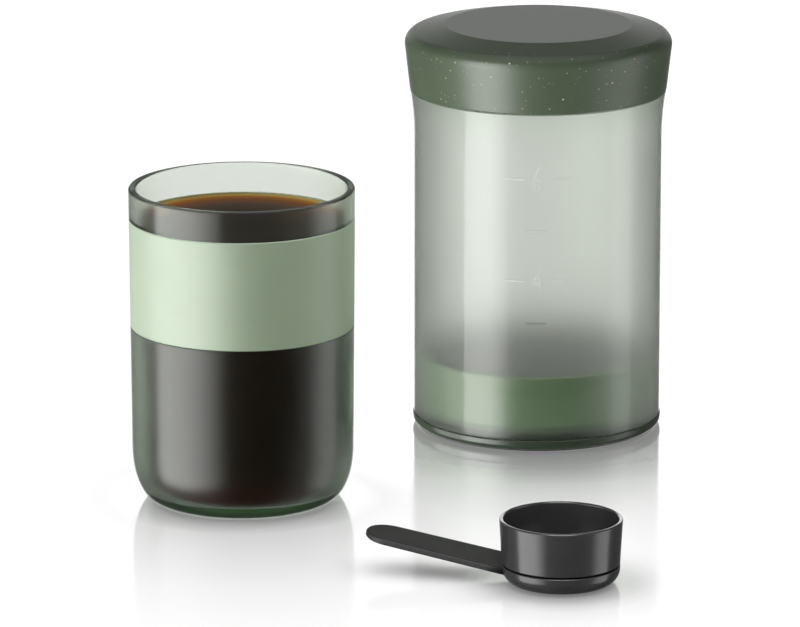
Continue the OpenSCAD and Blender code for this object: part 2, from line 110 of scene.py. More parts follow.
# Floor. Its gloss, by the distance from each item's foot in millimetres, gives the mirror images
FLOOR_HALF, FLOOR_Z, FLOOR_LIFT = 6.0, -0.0002, 0.16
GLOSS_REACH = 200.0
FLOOR_GLOSS = [
    (BREWER_AT, 43.0, [
        (0, 0.92), (15, 0.82), (29, 0.68), (43, 0.46), (58, 0.34), (72, 0.26), (120, 0.11), (200, 0.0),
    ]),
    (CUP_AT, 31.0, [(0, 0.66), (9, 0.5), (18, 0.27), (54, 0.21), (79, 0.14), (130, 0.05), (200, 0.0)]),
    (SCOOP_AT, 15.5, [(0, 0.7), (7, 0.5), (13, 0.25), (20, 0.12), (40, 0.04), (80, 0.0)]),
]

# Lamps and camera, in metres and degrees; the sensor and the lens in millimetres
STRIP_FAR, SCOOP_LIGHT_AHEAD = 1.6, 0.4
CARD = {"low": 4.0, "high": 26.0, "even": 0.98}
WHITE = (1.0, 1.0, 1.0, 1.0)
SENSOR, LENS, CAMERA_AT, CAMERA_DOWN = 36.0, 300.0, (-0.049, -2.311, 0.6284), 14.3


def arc(centre, width, height, start, end, steps=16):
    """Points on an elliptical arc, angles in degrees."""
    points = []
    for i in range(steps + 1):
        t = math.radians(start + (end - start) * i / steps)
        points.append((centre[0] + width * math.cos(t), centre[1] + height * math.sin(t)))
    return points


def soften(points, closed=True, steps=5):
    """Rounds each corner given as (r, z, radius); other points stay as they are."""
    out = []
    count = len(points)
    for i, p in enumerate(points):
        if len(p) < 3 or (not closed and i in (0, count - 1)):
            out.append(tuple(p[:2]))
            continue
        here = Vector(p[:2])
        a = (Vector(points[i - 1][:2]) - here).normalized()
        b = (Vector(points[(i + 1) % count][:2]) - here).normalized()
        half = a.angle(b) / 2
        reach = p[2] / math.tan(half)
        centre = here + (a + b).normalized() * (p[2] / math.sin(half))
        first, last = here + a * reach - centre, here + b * reach - centre
        turn = math.atan2(first.x * last.y - first.y * last.x, first.dot(last))
        for k in range(steps + 1):
            t = turn * k / steps
            c, s = math.cos(t), math.sin(t)
            out.append((centre.x + first.x * c - first.y * s, centre.y + first.x * s + first.y * c))
    return out


# Every piece with its body, for the lamps
PIECES = []


def new_object(name, mesh, material, body, nodes=()):
    """A piece of the scene that rides on a body and may stand for built pieces."""
    mesh.materials.append(material)
    obj = bpy.data.objects.new(name, mesh)
    bpy.context.scene.collection.objects.link(obj)
    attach(obj, body)
    PIECES.append((obj, body))
    if nodes:
        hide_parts(*nodes)
    return obj


def to_mesh(bm, name):
    """Ends the work on a mesh, with its faces turned outwards."""
    bmesh.ops.recalc_face_normals(bm, faces=bm.faces)
    mesh = bpy.data.meshes.new(name)
    bm.to_mesh(mesh)
    bm.free()
    return mesh


def lathe(
        name, outline, material, body, nodes=(), at=BREWER_AT, closed=True, turns=192, sharp=38):
    """Turns an outline of (r, z) points in millimetres about the upright axis through a point."""
    bm = bmesh.new()
    rings = []
    for r, z in outline:
        if r < 1e-6:
            rings.append([bm.verts.new((at[0] * MM, at[1] * MM, z * MM))])
            continue
        ring = []
        for k in range(turns):
            t = 2 * math.pi * k / turns
            x, y = at[0] + r * math.cos(t), at[1] + r * math.sin(t)
            ring.append(bm.verts.new((x * MM, y * MM, z * MM)))
        rings.append(ring)
    pairs = list(zip(rings, rings[1:]))
    if closed:
        pairs.append((rings[-1], rings[0]))
    for low, high in pairs:
        for k in range(turns):
            m = (k + 1) % turns
            corners = [low[k % len(low)], low[m % len(low)], high[m % len(high)], high[k % len(high)]]
            face = list(dict.fromkeys(corners))
            if len(face) > 2:
                bm.faces.new(face)
    mesh = to_mesh(bm, name)
    mesh.shade_smooth()
    mesh.set_sharp_from_angle(angle=math.radians(sharp))
    obj = new_object(name, mesh, material, body, nodes)
    obj.modifiers.new("weighted normals", "WEIGHTED_NORMAL").keep_sharp = True
    return obj


class Nodes:
    """A node tree under construction."""

    def __init__(self, tree):
        self.tree = tree

    def add(self, kind, inputs=None, **settings):
        """A node with its settings, and its inputs as numbers or as links."""
        node = self.tree.nodes.new(kind)
        for key, value in settings.items():
            setattr(node, key, value)
        for key, value in (inputs or {}).items():
            if isinstance(value, bpy.types.NodeSocket):
                self.tree.links.new(value, node.inputs[key])
            else:
                node.inputs[key].default_value = value
        return node

    def maths(self, operation, a, b):
        return self.add("ShaderNodeMath", {0: a, 1: b}, operation=operation).outputs["Value"]

    def between(self, value, start, end, low=0.0, high=1.0):
        """Runs from low to high while the value runs from start to end."""
        inputs = {"Value": value, "From Min": start, "From Max": end, "To Min": low, "To Max": high}
        return self.add("ShaderNodeMapRange", inputs).outputs["Result"]

    def ramp(self, factor, *stops):
        """Colours along a factor, by (position, colour)."""
        node = self.add("ShaderNodeValToRGB", {"Fac": factor})
        ramp = node.color_ramp
        while len(ramp.elements) < len(stops):
            ramp.elements.new(0.5)
        for element, (position, colour) in zip(ramp.elements, stops):
            element.position = position
            element.color = (*colour, 1.0)
        return node.outputs["Color"]

    def levels(self, factor, stops):
        """Greys along a factor, by (position, level)."""
        return self.ramp(factor, *[(position, (level, level, level)) for position, level in stops])

    def mix(self, factor, a, b, how="MIX"):
        """Mixes two colours, which are the node's inputs 6 and 7 and its output 2."""
        node = self.add("ShaderNodeMix", {0: factor, 6: a, 7: b}, data_type="RGBA", blend_type=how)
        return node.outputs[2]


class Shader(Nodes):
    """A node material under construction."""

    def __init__(self, name):
        self.material = bpy.data.materials.new(name)
        self.material.use_nodes = True
        super().__init__(self.material.node_tree)
        self.tree.nodes.clear()
        self.out = self.add("ShaderNodeOutputMaterial")
        self.place = self.add("ShaderNodeTexCoord").outputs["Object"]

    def axis(self, name):
        return self.add("ShaderNodeSeparateXYZ", {"Vector": self.place}).outputs[name]

    def reach(self, length, start, end, low=0.0, high=1.0):
        """Runs from low to high while a length runs between two values in millimetres."""
        return self.between(length, start * MM, end * MM, low, high)

    def rise(self, start, end, low=0.0, high=1.0):
        """Runs from low to high between two heights in millimetres."""
        return self.reach(self.axis("Z"), start, end, low, high)

    def noise(self, scale, detail=4.0, rough=0.55):
        inputs = {"Vector": self.place, "Scale": scale, "Detail": detail, "Roughness": rough}
        return self.add("ShaderNodeTexNoise", inputs).outputs["Fac"]

    def spread(self, factor, low, high):
        return self.between(factor, 0.0, 1.0, low, high)

    def satin(self, fine, rough, swing=0.04):
        """Roughness that swings a little with the grain."""
        return self.spread(fine, rough - swing, rough + swing)

    def bump(self, height, strength, distance=0.0002):
        inputs = {"Height": height, "Strength": strength, "Distance": distance}
        return self.add("ShaderNodeBump", inputs).outputs["Normal"]

    def principled(self, **inputs):
        node = self.add("ShaderNodeBsdfPrincipled", inputs)
        self.tree.links.new(node.outputs["BSDF"], self.out.inputs["Surface"])
        return self.material

    def absorb(self, colour, density):
        node = self.add("ShaderNodeVolumeAbsorption", {"Color": (*colour, 1.0), "Density": density})
        self.tree.links.new(node.outputs["Volume"], self.out.inputs["Volume"])


def moulded(name, dark, light, rough, grain=900.0, matt_below=None, **more):
    """Moulded plastic or rubber: faint mottling, fine grain, and a matt underside if a height is given."""
    s = Shader(name)
    fine = s.noise(grain, 3.0)
    gloss = s.satin(fine, rough)
    if matt_below:
        gloss = s.maths("MAXIMUM", gloss, s.rise(matt_below, 0.0, 0.0, 0.9))
    return s.principled(**{
        "Base Color": s.ramp(s.noise(60.0), (0.3, dark), (0.7, light)),
        "Roughness": gloss,
        "Normal": s.bump(fine, 0.08),
        **more,
    })


def speckled(name):
    """Dark green cap with gold and cream flecks, fewer of them on top."""
    s = Shader(name)
    fine = s.noise(1500.0, 3.0)
    base = s.ramp(s.noise(45.0), (0.3, (0.067, 0.095, 0.054)), (0.7, (0.076, 0.107, 0.062)))
    cells = s.add("ShaderNodeTexVoronoi", {"Vector": s.place, "Scale": 640.0}).outputs
    chance = s.add("ShaderNodeSeparateColor", {"Color": cells["Color"]}).outputs
    fleck = s.maths("LESS_THAN", cells["Distance"], s.spread(chance["Red"], -0.02, 0.19))
    shine = s.maths("MULTIPLY", fleck, s.spread(chance["Blue"], 0.15, 1.0))
    fewer = s.rise(LID_TOP - 2.5, LID_TOP - 0.2, 1.0, 0.12)
    tint = s.ramp(
        chance["Green"],
        (0.0, (0.62, 0.36, 0.10)), (0.6, (0.74, 0.55, 0.24)), (1.0, (0.70, 0.70, 0.55)))
    return s.principled(**{
        "Base Color": s.mix(s.maths("MULTIPLY", shine, fewer), base, tint),
        "Roughness": s.satin(fine, 0.32, 0.03),
        "Specular IOR Level": 0.9,
        "Normal": s.bump(fine, 0.06),
    })


def clear_plastic(s, tint, rough, absorbs, density, **more):
    """Clear plastic, tinted through its thickness."""
    lighter = tuple(min(1.0, c * 1.015) for c in tint)
    s.absorb(absorbs, density)
    return s.principled(**{
        "Base Color": s.ramp(s.noise(30.0), (0.3, tint), (0.7, lighter)),
        "Roughness": s.maths("ADD", rough, s.spread(s.noise(700.0, 3.0), -0.01, 0.01)),
        "IOR": 1.45,
        "Transmission Weight": 1.0,
        **more,
    })


def frosted(name):
    """The chamber's wall: rough inside, with a smooth coat."""
    return clear_plastic(
        Shader(name), (0.91, 0.922, 0.90), 0.40, (0.80, 0.85, 0.78), 150.0,
        **{"Coat Weight": 1.0, "Coat Roughness": 0.07})


def tinted(name):
    """The cup's wall: satin, and smoother above the sleeve."""
    s = Shader(name)
    rough = s.rise(SLEEVE_LOW, SLEEVE_TOP, 0.23, 0.17)
    return clear_plastic(s, (0.78, 0.805, 0.765), rough, (0.45, 0.57, 0.42), 80.0)


def raised(name):
    """Frosted marks: milky before the clear part of the wall, clearer low down, each row's tone painted to
    the light on it, with painted shade on the lowest row.
    """
    s = Shader(name)
    low, high = MARK_SPAN
    fine = s.spread(s.noise(700.0, 3.0), -0.01, 0.01)
    # Painted light and shade: each row of marks gets its own tone, the lowest row a dark one
    stops = [((z - low) / (high - low), (tone, tone * 1.01, tone * 0.985)) for z, tone in MARK_PAINTED_TONES]
    return s.principled(**{
        "Base Color": s.ramp(s.maths("ADD", s.rise(low, high), fine), *stops),
        "Roughness": s.maths("ADD", fine, 0.30),
        "IOR": 1.08,
        "Transmission Weight": s.rise(*MARK_CLEAR, 0.97, 0.5),
        "Coat Weight": 1.0,
        "Coat Roughness": 0.15,
    })


def two_greens(name, lower, upper, rough, start, end):
    """Moulded green that turns from one green to a lighter one between two heights."""
    s = Shader(name)
    fine = s.noise(900.0, 3.0)
    mottle = s.spread(s.noise(60.0), -0.06, 0.06)
    return s.principled(**{
        "Base Color": s.ramp(s.maths("ADD", s.rise(start, end), mottle), (0.0, lower), (1.0, upper)),
        "Roughness": s.satin(fine, rough),
        "Normal": s.bump(fine, 0.06),
        "Specular IOR Level": 0.8,
    })


def coffee_shader(name):
    """Black coffee, with a painted reddish glow at the bottom, a painted grey sheen on its face and painted
    amber light at the far edge of its face.
    """
    s = Shader(name)
    dx = s.maths("SUBTRACT", s.axis("X"), CUP_AT[0] * MM)
    dy = s.maths("SUBTRACT", s.axis("Y"), CUP_AT[1] * MM)
    flat = s.add("ShaderNodeCombineXYZ", {"X": dx, "Y": dy}).outputs["Vector"]
    radius = s.add("ShaderNodeVectorMath", {0: flat}, operation="LENGTH").outputs["Value"]
    # Painted amber light towards the far edge of the face, by radius and towards the back
    edge = s.maths("MULTIPLY", s.reach(radius, *EDGE_LIGHT_REACH), s.reach(dy, *BACK_LIGHT_REACH))
    # Painted reddish glow low on the side, turning to near-black higher up
    side = s.ramp(
        s.rise(*SIDE_GLOW_REACH),
        (0.0, (0.045, 0.008, 0.005)), (0.6, (0.020, 0.008, 0.0040)), (1.0, (0.018, 0.008, 0.0040)))
    # Painted grey sheen in the middle of the face, turning to painted amber light at the far edge
    face = s.ramp(
        edge, (0.0, (0.050, 0.041, 0.033)), (0.5, (0.095, 0.068, 0.050)), (0.78, (0.19, 0.085, 0.040)),
        (0.92, (0.34, 0.130, 0.028)), (1.0, (0.50, 0.32, 0.08)))
    return s.principled(**{
        "Base Color": s.mix(s.rise(COFFEE_Z - 0.6, COFFEE_Z - 0.1), side, face),
        "Roughness": s.spread(s.noise(80.0), 0.26, 0.32),
        # The face's own reflection is off; its sheen is painted into the colour
        "Specular IOR Level": 0.0,
    })


def wire_cloth(name):
    """Woven steel wire."""
    s = Shader(name)
    across, along = (
        s.add("ShaderNodeTexWave", {"Vector": s.place, "Scale": 900.0}, bands_direction=way).outputs["Fac"]
        for way in "XY")
    weave = s.maths("MULTIPLY", across, along)
    return s.principled(**{
        "Base Color": s.ramp(weave, (0.1, (0.08, 0.08, 0.08)), (0.6, (0.38, 0.38, 0.37))),
        "Metallic": 1.0,
        "Roughness": s.spread(weave, 0.45, 0.3),
    })


def steel(name):
    """Plain spring steel."""
    s = Shader(name)
    grain = s.noise(2200.0, 2.0)
    return s.principled(**{
        "Base Color": s.ramp(grain, (0.3, (0.5, 0.5, 0.5)), (0.7, (0.62, 0.62, 0.61))),
        "Metallic": 1.0,
        "Roughness": s.spread(grain, 0.25, 0.38),
    })


LID = speckled("speckled green")
GREEN = two_greens("base green", (0.036, 0.052, 0.031), (0.122, 0.210, 0.094), 0.22, 7.6, 8.6)
INNER = moulded("inner green", (0.05, 0.075, 0.045), (0.06, 0.088, 0.052), 0.42)
SAGE = moulded("sage silicone", (0.33, 0.42, 0.29), (0.36, 0.46, 0.32), 0.6)
# The seal's green turns dark towards its bottom: painted shade at the foot of the collar
SHADED_SEAL = two_greens("seal silicone shaded below", (0.018, 0.026, 0.016), (0.100, 0.170, 0.078), 0.45, 5.6, 8.2)
DARK = moulded("dark silicone", (0.014, 0.019, 0.014), (0.02, 0.026, 0.019), 0.55)
SLEEVE = moulded(
    "sleeve silicone", (0.275, 0.365, 0.235), (0.295, 0.39, 0.25), 0.44, 1800.0,
    **{"Specular IOR Level": 1.0})
BLACKS = (0.023, 0.023, 0.023), (0.027, 0.027, 0.027)
BLACK = moulded("scoop black", *BLACKS, 0.20, 1400.0)
DISH_BLACK = moulded("dish black", *BLACKS, 0.20, 1400.0, matt_below=DISH_MATT)
MATT_BLACK = moulded(
    "handle black", (0.016, 0.016, 0.016), (0.020, 0.020, 0.020), 0.50, 1400.0,
    **{"Specular IOR Level": 0.3})
FROST = frosted("frosted wall")
MARKS = raised("raised marks")
TINT = tinted("tinted wall")
COFFEE = coffee_shader("coffee")
WIRE = wire_cloth("wire cloth")
STEEL = steel("clip steel")


def lid_corner(inset):
    """Where the lid's leaning side meets its crown, for a face that lies a wall's thickness in."""
    fall, lean = math.tan(math.radians(CROWN)), math.tan(math.radians(LID_LEAN))
    r = (LID_EDGE_R - inset + (LID_TOP - inset - LID_LOW + DISC_R * fall) * lean) / (1 + fall * lean)
    return r, LID_TOP - inset - (r - DISC_R) * fall


def side_r(z):
    """Radius of the lid's side at a height."""
    return LID_EDGE_R + (z - LID_LOW) * math.tan(math.radians(LID_LEAN))


def crown_in(r):
    """Height of the crown's inner face at a radius."""
    return LID_TOP - LID_WALL - (r - DISC_R) * math.tan(math.radians(CROWN))


def cup_r_at(z):
    """Radius of the cup's outside at a height above its heel."""
    return CUP_LOW_R + (CUP_R - CUP_LOW_R) * (z - HEEL_H) / (CUP_H - HEEL_H)


# Lid
rib_z, bead_z = NECK_TOP + FLANGE_T + LID_PLAY, NECK_TOP - LID_PLAY
lathe("lid_cap", soften([
    (0.0, LID_TOP), (DISC_R, LID_TOP, 0.4), (*lid_corner(0.0), LID_ROUND), (side_r(LID_LOW), LID_LOW, 0.7),
    (side_r(LID_LOW) - LID_WALL, LID_LOW, 0.4),
    (side_r(bead_z - 2 * BEAD_H) - LID_WALL, bead_z - 2 * BEAD_H),
    (BEAD_R, bead_z - BEAD_H), (BEAD_R, bead_z), (side_r(bead_z) - LID_WALL, bead_z), lid_corner(LID_WALL),
    (PLUG_R, crown_in(PLUG_R)), (PLUG_R, rib_z), (PLUG_R - RIB_T, rib_z),
    (PLUG_R - RIB_T, crown_in(PLUG_R - RIB_T)), (DISC_R, LID_TOP - LID_WALL), (0.0, LID_TOP - LID_WALL),
], closed=False, steps=10), LID, "lid", ["lid_shell"], closed=False, turns=256)

# Chamber
flare = [
    (CHAMBER_R + FLARE_OUT * (i / FLARE_STEPS) ** 2, EDGE_Z - FLARE_H * (1 - i / FLARE_STEPS))
    for i in range(FLARE_STEPS)
]
wall_low = FOOT_H + WALL_LIFT
wall = [(CHAMBER_R, wall_low + (EDGE_Z - FLARE_H - wall_low) * i / WALL_STEPS) for i in range(WALL_STEPS)]
lathe("chamber_wall", soften([
    (BORE_R, FOOT_H, 0.3), (CHAMBER_R, FOOT_H, 0.7), *wall, *flare, (CHAMBER_R + FLARE_OUT, EDGE_Z, 0.3),
    (NECK_R, EDGE_Z), (NECK_R, NECK_TOP, 0.4), (BORE_R, NECK_TOP, 0.4), (BORE_R, BORE_RING_Z),
]), FROST, "chamber", ["chamber"], turns=256)

# Base
lathe("base_shell", soften([
    (RECESS_R, FOOT_LOW, 0.4), (PAD_IN_R, FOOT_LOW), (PAD_IN_R, PAD_TOP), (PAD_OUT_R, PAD_TOP),
    (PAD_OUT_R, FOOT_EDGE),
    *arc((FOOT_R - FOOT_ROUND, FOOT_LOW + FOOT_ROUND), FOOT_ROUND, FOOT_ROUND, -80, 0, 12),
    (FOOT_R, FOOT_H, 0.4), (COLLAR_R, FOOT_H), (COLLAR_R, GROOVE_LOW), (GROOVE_R, GROOVE_LOW),
    (GROOVE_R, GROOVE_TOP), (COLLAR_R, GROOVE_TOP), (COLLAR_R, COLLAR_TOP, 0.4),
    (COLLAR_IN_R, COLLAR_TOP, 0.3), (COLLAR_IN_R, LEDGE_Z), (LEDGE_R, LEDGE_Z), (LEDGE_R, WEB_Z),
    (LAND_R, LAND_Z), (DRAIN_R, LAND_Z), (DRAIN_R, RECESS_TOP), (RECESS_R, RECESS_TOP),
]), GREEN, "base", ["base_housing"], turns=224)

# Cup
lathe("cup_wall", soften([
    (0.0, CUP_HOLLOW), (CUP_RING_R - CUP_HOLLOW, CUP_HOLLOW), (CUP_RING_R, 0.0),
    *arc((CUP_LOW_R - HEEL_W, HEEL_H), HEEL_W, HEEL_H, -90, 0, 32),
    (cup_r_at(CUP_RING_Z), CUP_RING_Z), (cup_r_at(SLEEVE_LOW), SLEEVE_LOW, 0.25),
    (cup_r_at(SLEEVE_LOW) - SLEEVE_T, SLEEVE_LOW), (cup_r_at(SLEEVE_TOP) - SLEEVE_T, SLEEVE_TOP),
    (cup_r_at(SLEEVE_TOP), SLEEVE_TOP, 0.25),
    *arc((CUP_R - CUP_RIM, CUP_H - CUP_RIM), CUP_RIM, CUP_RIM, 0, 90, 10),
    *arc((CUP_R - CUP_WALL + CUP_RIM, CUP_H - CUP_RIM), CUP_RIM, CUP_RIM, 90, 180, 10),
    *arc((CUP_IN_R - HEEL_IN_W, HEEL_H), HEEL_IN_W, HEEL_H - CUP_FLOOR, 0, -90, 28), (0.0, CUP_FLOOR),
], closed=False), TINT, "cup", ["cup"], CUP_AT, closed=False, turns=256)
band_low, band_top = SLEEVE_LOW + BAND_GAP, SLEEVE_TOP - BAND_GAP
band = lathe("cup_band", soften([
    (cup_r_at(band_low) - BAND_T, band_low), (cup_r_at(band_low), band_low, 0.35),
    (cup_r_at(SLEEVE_RING_Z), SLEEVE_RING_Z), (cup_r_at(band_top), band_top, 0.35),
    (cup_r_at(band_top) - BAND_T, band_top),
]), SLEEVE, "cup", ["cup_sleeve"], CUP_AT, turns=224)
filled = (COFFEE_Z - HEEL_H) / (CUP_H - CUP_RIM - HEEL_H)
brim_r = CUP_IN_R + (CUP_R - CUP_WALL - CUP_IN_R) * filled - COFFEE_GAP
heel_w, heel_h = HEEL_IN_W - COFFEE_GAP, HEEL_H - CUP_FLOOR - COFFEE_GAP
lathe("coffee_fill", [
    (0.0, CUP_FLOOR + COFFEE_GAP), *arc((CUP_IN_R - HEEL_IN_W, HEEL_H), heel_w, heel_h, -90, 0, 28),
    *((brim_r - inset, COFFEE_Z + lift) for inset, lift in MENISCUS),
    (COFFEE_RING_R, COFFEE_Z), (0.0, COFFEE_Z),
], COFFEE, "cup", (), CUP_AT, closed=False)

# Scoop
bowl = lathe("scoop_cup", soften([
    (0.0, SPIGOT_Z), (SPIGOT_R, SPIGOT_Z, 0.3), (SPIGOT_R, BOWL_LOW), (BOWL_LOW_R, BOWL_LOW, 0.35),
    BOWL_MID, *arc((SCOOP_R - SCOOP_RIM, SCOOP_H - SCOOP_RIM), SCOOP_RIM, SCOOP_RIM, 0, 180, 12),
    (*BOWL_IN, 1.5), (*BOWL_IN_LOW, 1.5), (BOWL_IN_LOW[0], BOWL_FLOOR, 1.0), (0.0, BOWL_FLOOR),
], closed=False), BLACK, "scoop", ["scoop_bowl"], SCOOP_AT, closed=False)
dish_flat = BOWL_LOW_R - DISH_ROUND
lathe("scoop_dish", soften([
    (0.0, 0.0), (dish_flat, 0.0), *arc((dish_flat, DISH_ROUND), DISH_ROUND, DISH_ROUND, -84, 0, 14),
    (BOWL_LOW_R, DISH_H, 0.35), (SOCKET_R, DISH_H), (SOCKET_R, SPIGOT_Z), (0.0, SPIGOT_Z),
], closed=False), DISH_BLACK, "scoop", ["scoop_handle"], SCOOP_AT, closed=False)


def grip(name):
    """Flat handle with a round end and softened edges, rising from the dish to its tip."""
    rise, turn = math.radians(GRIP_RISE), math.radians(GRIP_TURN)
    tip, root = GRIP_TIP_W / 2, GRIP_ROOT_W / 2
    length = (GRIP_REACH - tip) / math.cos(rise)
    root_z = DISH_H - GRIP_T - GRIP_DROP - BOWL_LOW_R * math.tan(rise)
    near, far = SOCKET_R + GRIP_PLAY, BOWL_LOW_R - GRIP_INSET
    side = []
    for i in range(GRIP_STEPS):
        x = near + (length - near) * i / GRIP_STEPS
        side.append((x, -root + (root - tip) * (x - far) / (length - far), 0, -1))
    plan = list(side)
    for i in range(TIP_STEPS + 1):
        t = math.radians(-90 + 180 * i / TIP_STEPS)
        plan.append((length + tip * math.cos(t), tip * math.sin(t), math.cos(t), math.sin(t)))
    plan += [(x, -y, 0, 1) for x, y, _, _ in reversed(side)]
    bm = bmesh.new()
    rows = []
    for inset, z in [*GRIP_EDGE, *((inset, GRIP_T - z) for inset, z in reversed(GRIP_EDGE))]:
        row = []
        for x, y, nx, ny in plan:
            u, v = x - nx * inset, y - ny * inset
            along = u * math.cos(rise) - z * math.sin(rise)
            up = root_z + u * math.sin(rise) + z * math.cos(rise)
            px = SCOOP_AT[0] + along * math.cos(turn) - v * math.sin(turn)
            py = SCOOP_AT[1] + along * math.sin(turn) + v * math.cos(turn)
            row.append(bm.verts.new((px * MM, py * MM, up * MM)))
        rows.append(row)
    count = len(plan)
    for low, high in zip(rows, rows[1:]):
        for k in range(count):
            m = (k + 1) % count
            bm.faces.new((low[k], low[m], high[m], high[k]))
    bm.faces.new(list(reversed(rows[0])))
    bm.faces.new(rows[-1])
    mesh = to_mesh(bm, name)
    mesh.shade_smooth()
    obj = new_object(name, mesh, MATT_BLACK, "scoop", ["scoop_handle"])
    obj.modifiers.new("weighted normals", "WEIGHTED_NORMAL")


grip("scoop_grip")


def add_dash(bm, start, end, z):
    """One line of the scale, drawn flat: x across, z up, y 1 on its raised face and 0 at the wall."""
    rows = [
        [bm.verts.new((start + (end - start) * i / DASH_STEPS, y, z + side * DASH_H / 2))
         for i in range(DASH_STEPS + 1)]
        for y, side in ((0, -1), (1, -1), (1, 1), (0, 1))
    ]
    for low, high in zip(rows, rows[1:]):
        for i in range(DASH_STEPS):
            bm.faces.new((low[i], low[i + 1], high[i + 1], high[i]))
    for i in (0, DASH_STEPS):
        bm.faces.new([row[i] for row in rows])


def add_figure(bm, figure, z):
    """One figure of the scale, drawn like a line."""
    curve = bpy.data.curves.new("scale_figure", "FONT")
    curve.body, curve.size, curve.extrude, curve.align_x = figure, FIGURE_SIZE, FIGURE_DEPTH, "CENTER"
    holder = bpy.data.objects.new("scale_figure", curve)
    bpy.context.scene.collection.objects.link(holder)
    drawn = holder.evaluated_get(bpy.context.evaluated_depsgraph_get()).to_mesh()
    start = len(bm.verts)
    bm.from_mesh(drawn)
    bm.verts.ensure_lookup_table()
    verts = bm.verts[start:]
    heights = [v.co.y for v in verts]
    middle = (max(heights) + min(heights)) / 2
    for v in verts:
        v.co = Vector((v.co.x * FIGURE_SLIM + FIGURE_X, 1.0 if v.co.z > 0 else 0.0, v.co.y - middle + z))
    bpy.data.objects.remove(holder)
    bpy.data.curves.remove(curve)


def wrap(bm):
    """Lays flat work onto the front of the chamber's wall."""
    for v in bm.verts:
        angle = v.co.x / CHAMBER_R
        r = CHAMBER_R + (MARK_PROUD if v.co.y > 0 else -MARK_SUNK)
        v.co = Vector((r * math.sin(angle), -r * math.cos(angle), v.co.z)) * MM


def volume_marks(name):
    """Raised figures and lines of the chamber's scale."""
    bm = bmesh.new()
    for z, dashes in SCALE:
        for start, end in dashes:
            add_dash(bm, start, end, z)
    for figure, z in FIGURES:
        add_figure(bm, figure, z)
    wrap(bm)
    return new_object(name, to_mesh(bm, name), MARKS, "chamber")


marks = volume_marks("scale_marks")

# Pieces that stay as built
for node, body, material in (
    ("lid_liner", "lid", INNER), ("lid_gasket", "lid", SAGE),
    ("base_seal", "base", SHADED_SEAL), ("foot_pad", "base", DARK), ("drain_guide", "base", INNER),
    ("valve_stopper", "valve", SAGE), ("valve_stem", "valve", INNER),
    ("release_ring", "valve", INNER), ("stem_clip", "valve", STEEL),
    ("filter_frame", "filter", INNER), ("filter_gasket", "filter", SAGE),
    ("filter_mesh", "filter", WIRE), ("filter_clamp", "filter", INNER),
):
    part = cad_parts[node]
    part.data.materials.clear()
    part.data.materials.append(material)
    PIECES.append((part, body))


def floor_shader(name):
    """White floor that mirrors each item near its foot."""
    s = Shader(name)
    ray = s.add("ShaderNodeLightPath").outputs
    seen = s.maths("MAXIMUM", ray["Is Camera Ray"], ray["Is Transmission Ray"])
    # Light mirrored inside a clear wall, for which the floor in front of the set is gone
    mirrored = s.maths("GREATER_THAN", ray["Glossy Depth"], 0.5)
    inner = s.maths("MULTIPLY", ray["Is Transmission Ray"], mirrored)
    hidden = s.maths("MULTIPLY", inner, s.reach(s.axis("Y"), AHEAD_FROM, AHEAD_TO))
    polish = None
    for (x, y), r, stops in FLOOR_GLOSS:
        foot = {0: s.place, 1: (x * MM, y * MM, 0.0)}
        away = s.add("ShaderNodeVectorMath", foot, operation="DISTANCE").outputs["Value"]
        shine = s.levels(s.reach(away, r, r + GLOSS_REACH), [(d / GLOSS_REACH, g) for d, g in stops])
        polish = shine if polish is None else s.maths("MAXIMUM", polish, shine)
    pale = s.ramp(s.noise(3.0), (0.3, (0.90, 0.90, 0.90)), (0.7, (0.91, 0.91, 0.91)))
    matt = s.add("ShaderNodeBsdfDiffuse", {"Color": pale})
    rough = s.spread(s.noise(200.0), 0.10, 0.13)
    gloss = s.add("ShaderNodeBsdfGlossy", {"Color": WHITE, "Roughness": rough})
    lift = s.maths("MULTIPLY", seen, FLOOR_LIFT)
    glow = s.add("ShaderNodeEmission", {"Color": WHITE, "Strength": lift})
    mixed = s.add("ShaderNodeMixShader", {"Fac": polish, 1: matt.outputs[0], 2: gloss.outputs[0]})
    both = s.add("ShaderNodeAddShader", {0: mixed.outputs[0], 1: glow.outputs[0]})
    gone = s.add("ShaderNodeBsdfTransparent")
    shown = s.add("ShaderNodeMixShader", {"Fac": hidden, 1: both.outputs[0], 2: gone.outputs[0]})
    s.tree.links.new(shown.outputs[0], s.out.inputs["Surface"])
    return s.material


# Floor. Glossy rays pass it, because walls seen from above mirror lamps that lie below it
floor_mesh = bpy.data.meshes.new("floor")
floor_bm = bmesh.new()
bmesh.ops.create_grid(floor_bm, x_segments=1, y_segments=1, size=FLOOR_HALF)
floor_bm.to_mesh(floor_mesh)
floor_bm.free()
floor_mesh.materials.append(floor_shader("floor white"))
floor = bpy.data.objects.new("floor", floor_mesh)
floor.location = (0.0, 0.0, FLOOR_Z)
bpy.context.scene.collection.objects.link(floor)
floor.visible_glossy = False


